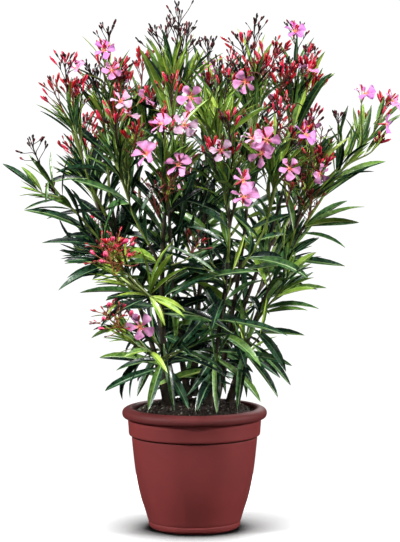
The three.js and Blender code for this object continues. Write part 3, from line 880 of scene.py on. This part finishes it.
def leafy_whorls(soup, shoot, turn, growth, near, rng):
    """Whorls of three leaves from the tip down, each turned a sixth of a turn from the last."""
    weights, ageing_and_shade, slimness = PALETTES[growth.palette]
    spray_shade = int(np.searchsorted(np.cumsum(weights), turn))
    total = shoot.lengths[-1]
    back = 1.5 * MM + 0.35 * shoot.bloom
    spin = rng.uniform(0, TURN)
    while back < total * 0.93:
        point, tangent = shoot.at(total - back)
        age, grown = min(1.0, back / AGED), min(1.0, back / GROWN)
        droop = 0.16 * growth.droop * age
        side = square_to(tangent)
        spin += math.pi / 3
        for k in range(WHORL):
            away = turned(side, tangent, spin + k * TURN / WHORL + rng.normal(0, 0.12))
            length = growth.leaf * MM * (0.6 + 0.4 * grown) * rng.uniform(0.85, 1.15)
            angle = 0.3 + (0.6 + 0.5 * growth.droop) * age**0.8 + rng.normal(0, 0.12)
            bend = 0.12 + (0.3 + growth.droop) * age * rng.uniform(0.6, 1.4)
            # older leaves, further inside the crown, are darker: partly their age, partly painted shade
            shade = spray_shade + rng.choice([-1, 0, 0, 0, 1]) + round(ageing_and_shade * age)
            shade = int(np.clip(shade, 0, DARKEST))
            if rng.random() <= growth.kept * (1 - 0.2 * age):
                way = (point, tangent, away, angle, length, slimness, bend, droop, SHOOT_ROLL)
                grow_leaf(soup, *way, shade, STRAY, near, rng)
        back += rng.uniform(0.85, 1.15) * (11 + 17 * grown) * MM


def limb_leaves(soup, limb, rng):
    """Whorls of long, dark, drooping leaves straight from a cane or bough, above the pot."""
    shoot = Shoot(limb.line)
    place = rng.uniform(4, 20) * MM
    spin = rng.uniform(0, TURN)
    while place < shoot.lengths[-1]:
        point, tangent = shoot.at(place)
        low = float(np.clip(1 - (point[2] - SOIL) / 0.25, 0, 1))
        place += rng.uniform(30, 44) * (1 - 0.3 * low) * MM
        spin += math.pi / 3 + rng.normal(0, 0.2)
        near = masses_near(point)
        if point[2] < SOIL + 16 * MM or not near:
            continue
        side = square_to(tangent)
        stray = HANG + 16 * MM * low
        for k in range(WHORL):
            if rng.random() < 0.52:  # about half of these leaves have fallen
                continue
            away = turned(side, tangent, spin + k * TURN / WHORL)
            length = rng.uniform(115, 150) * (0.84 + 0.16 * low) * MM
            angle = rng.uniform(0.7, 1.2) + 0.6 * low
            bend = rng.uniform(0.2, 0.9) + 0.4 * low
            # a shade paler on the lit side: painted light
            shade = int(rng.choice(CANE_SHADES)) - (1 if point[0] > SUNNY else 0)
            droop = 0.1 + low * rng.uniform(0.0, 0.4)
            way = (point, tangent, away, angle, length, BROAD, bend, droop, CANE_ROLL)
            grow_leaf(soup, *way, shade, stray, near, rng)


def long_leaf(rng, soup, shoot, share, bearing, reach, height, *shades):
    """One leaf from a shoot, arching over to a tip at a given place."""
    point, _ = shoot.part(share)
    chord = spot(bearing, reach, height) - point
    bend = rng.uniform(0.4, 0.9)
    heading = unit(unit(chord) + square_to(unit(chord)) * 0.45 * bend)
    length = np.linalg.norm(chord) * 1.04
    fold, twist = rng.uniform(0.3, 0.7), rng.normal(0, 0.4)
    face = facing_out(square_to(heading), heading, point, 1.0)
    wide = min(length * BROAD, BROADEST)
    Leaf(point, heading, face, length, bend, 0.0, twist, fold, wide, shades).add_to(soup)


def foothold(mass, shoots, bearing, share, lift):
    """A place on a mass's outside at that bearing and share of its height, and the nearest twig below it."""
    angle = math.radians(bearing)
    outward = np.array([math.cos(angle), math.sin(angle), 0.0])
    height = mass.low[2] + share * (mass.high[2] - mass.low[2])
    middle = np.array([mass.centre[0], mass.centre[1], height])
    place = middle + outward * (mass.edge(middle, outward) + lift * MM)
    samples = np.concatenate([s.line[3:] for s in shoots])
    away = samples - place
    too_high = np.where(away[:, 2] > -15 * MM, 40 * MM, 0)
    cost = 1.5 * np.hypot(away[:, 0], away[:, 1]) + 0.8 * abs(away[:, 2]) + too_high
    return outward, place, samples[cost.argmin()]


def place_blossom(rng, name, bearing, share, skin, radius, lift=5):
    """An open flower on a side twig, with a few buds behind it."""
    radius *= BLOSSOM_SIZE
    outward, place, start = foothold(masses[name], grown[name], bearing, share, lift)
    rise = rng.uniform(0.9, 1.6) if share > 0.86 else rng.uniform(0.0, 0.7)
    facing = unit(outward + UP * rise + rng.normal(0, 0.36, 3))
    back = place - facing * radius * MM * 0.6
    add_stalk(start, unit(outward * 0.4 + UP), back, 1.1 * MM, GREEN_STALK, 7)
    add_flower(place, facing, radius * MM, skin, rng)
    for _ in range(rng.integers(2, 5)):
        lean = unit(facing + UP * 0.8 + rng.normal(0, 0.5, 3))
        foot = back + lean * rng.uniform(12, 22) * MM
        add_stalk(back - facing * 10 * MM, lean, foot, 0.7 * MM, GREEN_STALK, 3)
        add_bud(foot, lean, rng.uniform(10, 16) * MM, rng.choice([RED, RED, CRIMSON]), 0.13)


def place_sprig(rng, name, bearing, share, tone, size, lift=0):
    """A flower head on a side twig, its middle at a given place on a mass's outside."""
    outward, place, start = foothold(masses[name], grown[name], bearing, share, lift)
    heading = unit(outward * 0.5 + UP + rng.normal(0, 0.2, 3))
    foot = place - heading * size * 0.5 * MM
    add_stalk(start, heading, foot, 1.2 * MM, TONES[tone].stalk, 5)
    add_cyme(foot, heading, size * MM, TONES[tone], rng)


# ---------------------------------------------------------------- growing the plant

limb_names = [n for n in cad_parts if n.startswith(("cane_", "bough_"))]
limbs = {n.split("_", 1)[1]: Limb(n) for n in sorted(limb_names)}
masses = {n: Mass("foliage_" + n) for n in GROWTH}
regions = {name: Soup() for name in ("left", "centre", "right", "back")}
region_nodes = {name: [] for name in regions}
grown = {}


def region_of(name):
    first = name.split("_")[0]
    return "centre" if first == "front" else first


def leaves_of(name):
    return regions[region_of(name)]


for index, (name, growth) in enumerate(GROWTH.items()):
    rng = seeded("mass", index)
    mass = masses[name]
    if name in ARMS:
        grown[name] = arm_shoots(limbs[name], ARMS[name])
    elif name in limbs:
        grown[name] = head_shoots(mass, limbs[name], growth, rng)
    else:
        grown[name] = skirt_shoots(mass, growth, rng)
    tones = itertools.cycle(growth.tones)
    turn = rng.random()
    for shoot in grown[name]:
        turn = (turn + SPREAD) % 1
        green = shoot.leafy or growth.palette in ("sun", "lime")
        radii = np.linspace(*shoot.radii, len(shoot.line))
        add_tube(twigs, shoot.line, radii, TWIG_SIDES, GREEN if green else BROWN)
        if shoot.leafy:
            leafy_whorls(leaves_of(name), shoot, turn, growth, masses_near(mass.centre), rng)
        if shoot.bloom:
            tip, heading = shoot.part(1)
            add_cyme(tip, blend(heading, UP, 0.25), shoot.bloom, TONES[next(tones)], rng)
    region_nodes[region_of(name)].append("foliage_" + name)
for index, (name, limb) in enumerate(limbs.items()):
    limb_leaves(leaves_of(name), limb, seeded("limb", index))
for index, row in enumerate(each(SPRIGS)):
    place_sprig(seeded("sprig", index), *row)
for index, (name, *row) in enumerate(each(LONG_LEAVES)):
    long_leaf(seeded("long", index), leaves_of(name), Shoot(limbs[name].line), *row)
for index, (name, number, *row) in enumerate(each(ARM_LEAVES)):
    long_leaf(seeded("arm", index), leaves_of(name), grown[name][number], *row)
for index, row in enumerate(each(BLOSSOM)):
    place_blossom(seeded("blossom", index), *row)


# ---------------------------------------------------------------- bark

BARK_SIDES = 14
YOUNG = 2.7 * MM  # a limb thinner than this is still green
GREEN_LIMBS = ("left_far", "left_low_front", "left_foot_front")  # this year's shoots, green all along


def smooth_line(line, radii, count):
    """The limb's line and radii resampled smoothly through its slices."""
    steps = np.linspace(0, 1, len(line))
    fine = np.linspace(0, 1, count)
    out = np.empty((count, 3))
    slopes = np.gradient(line, steps, axis=0)
    for i, t in enumerate(fine):
        k = min(int(t * (len(line) - 1)), len(line) - 2)
        h = steps[k + 1] - steps[k]
        u = (t - steps[k]) / h
        out[i] = (
            (2 * u**3 - 3 * u**2 + 1) * line[k]
            + (u**3 - 2 * u**2 + u) * h * slopes[k]
            + (-2 * u**3 + 3 * u**2) * line[k + 1]
            + (u**3 - u**2) * h * slopes[k + 1]
        )
    return out, np.interp(fine, steps, radii)


def bark_piece():
    """All limbs, with a little relief and rings of leaf scars."""
    soup = Soup()
    angles = circle(BARK_SIDES)
    for index, (name, limb) in enumerate(limbs.items()):
        rng = seeded("bark", index)
        length = np.linalg.norm(np.diff(limb.line, axis=0), axis=1).sum()
        count = max(16, int(length / (5 * MM)))
        line, radii = smooth_line(limb.line, limb.radii, count)
        relief = 1 + rng.normal(0, 0.025, (count, BARK_SIDES))
        relief = (relief + np.roll(relief, 1, axis=0) + np.roll(relief, 1, axis=1)) / 3
        joint = rng.uniform(25, 45) * MM
        spin = rng.uniform(0, TURN)
        place = np.linspace(0, length, count)
        while joint < length:
            bell = np.exp(-(((place - joint) / (4 * MM)) ** 2))[:, None]
            scars = 0.05 + 0.1 * np.maximum(0, np.cos(1.5 * (angles - spin))) ** 3
            relief = relief + bell * scars
            joint += rng.uniform(24, 42) * MM
            spin += math.pi / 3
        skins = np.where((radii[:-1] < YOUNG) | (name in GREEN_LIMBS), YOUNG_BARK, OLD_BARK)
        faces = grid_faces(count, BARK_SIDES, True)
        soup.add(tube(line, radii, BARK_SIDES, relief), faces, np.repeat(skins, BARK_SIDES))
    return soup.build("bark_limbs", BARK_SKINS)


# ---------------------------------------------------------------- pot and compost

# (radius, height) in mm
POT_OUTSIDE = [
    (0, 0), (74, 0), (80, 2), (83, 6), (84, 12), (83, 13.8), (85, 16.5), (87, 24), (90.2, 34),
    (93.4, 44), (96.6, 53), (99.2, 63), (101.4, 72), (103.4, 82), (105.6, 94), (107.6, 106), (109.4, 120),
    (111, 134), (112.4, 148), (113.4, 158), (114, 165), (114, 168.4), (113.6, 170.4), (115, 171.4),
    (118.4, 171.8), (119.4, 174), (119.8, 182), (120.4, 190), (121, 197), (120.8, 201.2), (121.6, 202.6),
    (126, 203), (129.2, 204.4), (131, 207.6), (131.6, 211.6), (130.8, 215.4), (127.8, 218.8), (122.5, 221.2),
    (117, 222), (113, 221), (110.2, 218.4), (109.2, 214),
]  # fmt: skip
POT_INSIDE = [
    (110, 210), (115.4, 204), (115, 176), (110.6, 168), (108.6, 144), (104.8, 112), (100.4, 82), (95.6, 60),
    (88, 34), (81.6, 13), (77, 6), (74, 4), (0, 4),
]  # fmt: skip
POT_SEGMENTS = 144
RIM_FOOT = 0.2028  # from here up the rolled rim is painted a little darker: painted shade against the light it catches


def pot_piece():
    profile = softened(np.array(POT_OUTSIDE + POT_INSIDE, dtype=float), rounds=2) * MM
    soup = Soup()
    points, faces = lathe(profile, POT_SEGMENTS)
    # faces above RIM_FOOT take the darker rim skin, which is painted shade
    soup.add(points, faces, np.where(points[faces[:, 0], 2] > RIM_FOOT, 1, 0))
    skins = []
    for name, *colours in (
        ("pot_plastic", (98, 40, 40), (105, 43, 42)),
        ("pot_rim_painted_shade", (79, 33, 33), (85, 36, 36)),
    ):
        material, shader, tree = new_material(name, roughness=0.6, specular=0.12)
        mottle(tree, shader, *colours, scale=14, detail=2.0)
        roughen(tree, shader, scale=900, strength=0.12, distance=0.3 * MM)
        skins.append(material)
    return soup.build("pot_shell", skins)


COMPOST_RINGS, COMPOST_SEGMENTS = 40, 120
CRUMBS = 1500
CRUMB_SIDES = 5
CRUMB_RINGS = np.array([-1, -0.5, 0.5, 1])
CRUMB_RADII = np.array([0.25, 1, 0.9, 0.2])


def compost_piece():
    """The raised root ball's crumbly top, closed below the rim where it can't be seen."""
    rng = seeded("compost")
    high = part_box("root_ball")[1]
    top, edge = high[2], high[0] * 0.985
    soup = Soup()
    angles = circle(COMPOST_SEGMENTS)
    points = np.empty((COMPOST_RINGS, COMPOST_SEGMENTS, 3))
    bumps = [(rng.uniform(20, 140, 2) * rng.choice([-1, 1], 2), rng.uniform(0, 7)) for _ in range(14)]

    def mound(r):
        """The height of the mound at a radius, which falls away by 17 mm near the pot's wall."""
        return top - 17 * MM * (1 - 1 / (1 + math.exp((r / edge - 0.84) * 16)))

    for i, share in enumerate(np.linspace(0.002, 1, COMPOST_RINGS)):
        r = share * edge
        x, y = r * np.cos(angles), r * np.sin(angles)
        wave = sum(np.sin(f[0] * x + f[1] * y + p) for f, p in bumps) / len(bumps)
        z = mound(r) - 1.5 * MM + 3.2 * MM * wave + rng.normal(0, 0.5 * MM, COMPOST_SEGMENTS)
        points[i] = np.stack([x, y, np.minimum(z, top + 2 * MM)], axis=1)
    wall = points[-1].copy()
    wall[:, 2] = top - 60 * MM
    floor = wall * [0.01, 0.01, 1]
    points = np.concatenate([points, wall[None], floor[None]])
    soup.add(points.reshape(-1, 3), grid_faces(len(points), COMPOST_SEGMENTS, True))
    faces = grid_faces(len(CRUMB_RINGS), CRUMB_SIDES, True)
    for _ in range(CRUMBS):
        r, a = edge * math.sqrt(rng.uniform(0, 0.97)), rng.uniform(0, TURN)
        centre = np.array([r * math.cos(a), r * math.sin(a), mound(r) - 0.5 * MM])
        size = rng.uniform(1.0, 2.8) * MM
        heading = unit(rng.normal(0, 1, 3))
        rings = centre + CRUMB_RINGS[:, None] * heading * size * rng.uniform(0.6, 1.5)
        spread = CRUMB_RADII[:, None] * rng.uniform(0.7, 1.2, (len(CRUMB_RINGS), CRUMB_SIDES))
        crumb = tube(rings, [size] * len(rings), CRUMB_SIDES, spread)
        soup.add(crumb, faces, rng.choice([0, 0, 0, 1, 1, 1, 1, 2]))
    crumb_skin = partial(plain, specular=0.2)
    skins = [
        crumb_skin("compost", (18, 14, 11), (36, 28, 23), 0.95, scale=160, bump=1.0, grain=500),
        crumb_skin("compost_crumb", (28, 22, 18), (50, 40, 33), 0.95, scale=200, bump=0.8, grain=700),
        crumb_skin("compost_chip", (60, 58, 50), (96, 93, 82), 0.9, scale=200, bump=0.8, grain=700),
    ]
    return soup.build("compost_top", skins)


# ---------------------------------------------------------------- pieces


def settle(piece, nodes=()):
    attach(piece, "root")
    if nodes:
        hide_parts(*nodes)


settle(pot_piece(), ["pot"])
settle(compost_piece(), ["root_ball"])
settle(bark_piece(), limb_names)
for name, soup in regions.items():
    settle(soup.build("leaves_" + name, LEAF_SKINS), region_nodes[name])
settle(twigs.build("twigs", TWIG_SKINS))
settle(stalks.build("flower_stalks", STALK_SKINS))
settle(buds.build("flower_buds", BUD_SKINS))
settle(bracts.build("bracts", LEAF_SKINS))
settle(flowers.build("flowers", PETAL_SKINS))


# ---------------------------------------------------------------- floor, light and camera

FLOOR_RADIUS, FLOOR_SIDES = 0.6, 96


def add_floor():
    """A white floor that glows softly, as on a light table, its glow and colour darkened by ambient
    occlusion round the pot: a painted contact shadow.
    """
    mesh = bpy.data.meshes.new("floor")
    ring = [(FLOOR_RADIUS * math.cos(a), FLOOR_RADIUS * math.sin(a), 0.0) for a in circle(FLOOR_SIDES)]
    mesh.from_pydata(ring, [], [list(range(FLOOR_SIDES))])
    material, shader, tree = new_material("floor_white", roughness=0.8, specular=0.1)
    shader.inputs["Emission Color"].default_value = (1, 1, 1, 1)
    shade = tree.nodes.new("ShaderNodeAmbientOcclusion")
    shade.samples = 16
    shade.inputs["Distance"].default_value = 0.36
    # painted shadow: the floor's glow and colour fall away where the pot is near
    for target, high in (("Emission Strength", 0.7), ("Base Color", 0.8)):
        map_range(tree, shade.outputs["AO"], shader.inputs[target], 0.0, high, start=0.5, end=1.04)
    mesh.materials.append(material)
    floor = add_object("floor", mesh)
    floor.visible_diffuse = False
    floor.visible_glossy = False


def add_area(name, place, aim, size, watts, spread=180):
    light = bpy.data.lights.new(name, "AREA")
    light.shape = "DISK"
    light.size = size
    light.energy = watts
    light.spread = math.radians(spread)
    lamp = add_object(name, light)
    lamp.location = place
    lamp.rotation_euler = (Vector(aim) - Vector(place)).to_track_quat("-Z", "Y").to_euler()


def add_world():
    """Pure white behind the plant, and a dimmer white as light."""
    world = bpy.data.worlds.new("studio")
    world.use_nodes = True
    tree = world.node_tree
    ground = tree.nodes["Background"]
    ground.inputs["Color"].default_value = (1, 1, 1, 1)
    path = tree.nodes.new("ShaderNodeLightPath")
    map_range(tree, path.outputs["Is Camera Ray"], ground.inputs["Strength"], low=0.012, high=1.05)
    bpy.context.scene.world = world


def add_camera():
    lens = bpy.data.cameras.new("camera")
    lens.lens = 184.5
    lens.sensor_width = 36
    lens.clip_end = 60
    camera = add_object("camera", lens)
    camera.location = (0.0099, -5.0, 0.934)
    camera.rotation_euler = (math.pi / 2 - math.radians(5.31), 0, 0)
    bpy.context.scene.camera = camera


add_floor()
add_world()
add_area("key", (-2.9, -1.3, 1.9), (0, 0, 0.45), 0.7, 232)
add_area("side", (2.8, -0.8, 1.5), (0, 0, 0.4), 0.7, 164)
add_area("front", (0.2, -4.2, 0.9), (0, 0, 0.35), 0.9, 24)
add_area("low", (0.05, -2.6, 0.12), (0, 0, 0.03), 0.4, 0.15, 14)
add_area("top", (-0.3, -0.9, 2.8), (0, 0, 0.6), 0.8, 48)
add_area("back", (0.7, 2.8, 2.2), (0, 0, 0.5), 1.0, 84)
add_camera()
bpy.context.scene.view_settings.view_transform = "Standard"
